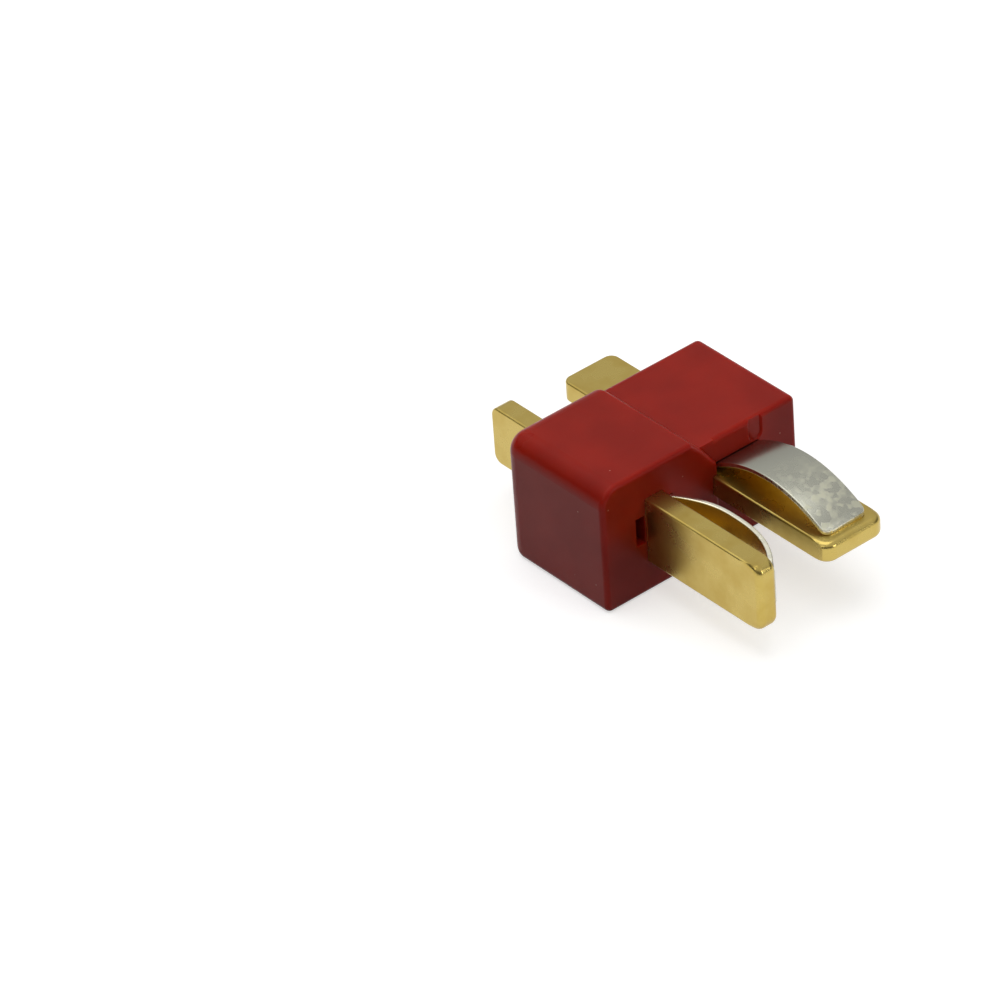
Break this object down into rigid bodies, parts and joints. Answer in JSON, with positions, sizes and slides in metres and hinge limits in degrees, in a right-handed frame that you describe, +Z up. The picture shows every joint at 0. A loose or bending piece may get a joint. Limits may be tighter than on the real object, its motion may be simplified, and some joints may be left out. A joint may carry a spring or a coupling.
{
  "type": "t plug battery connector",
  "caption": "Two-pole T-shaped battery plug: a stepped nylon housing with bare sprung blades in front and solder tabs behind.",
  "frame": {"origin": "on the flat underside of the housing, on the line where the tall and the short half meet, half way along the housing", "axes": "+X from the tall half to the short half, +Y from the blades to the solder tabs, +Z up from the underside"},
  "size_m": [0.015, 0.0232, 0.0084],
  "materials": {
    "moulded_nylon": "injection-moulded red nylon, satin with a fine grain",
    "gold_plated_brass": "stamped brass with pale gold plating, satin",
    "nickel_plated_spring": "nickel-plated spring strip, satin with polished edges"
  },
  "bodies": {
    "root": {"housing": "moulded_nylon", "vertical_contact": "gold_plated_brass", "horizontal_contact": "gold_plated_brass", "vertical_spring": "nickel_plated_spring", "horizontal_spring": "nickel_plated_spring"}
  },
  "joints": []
}
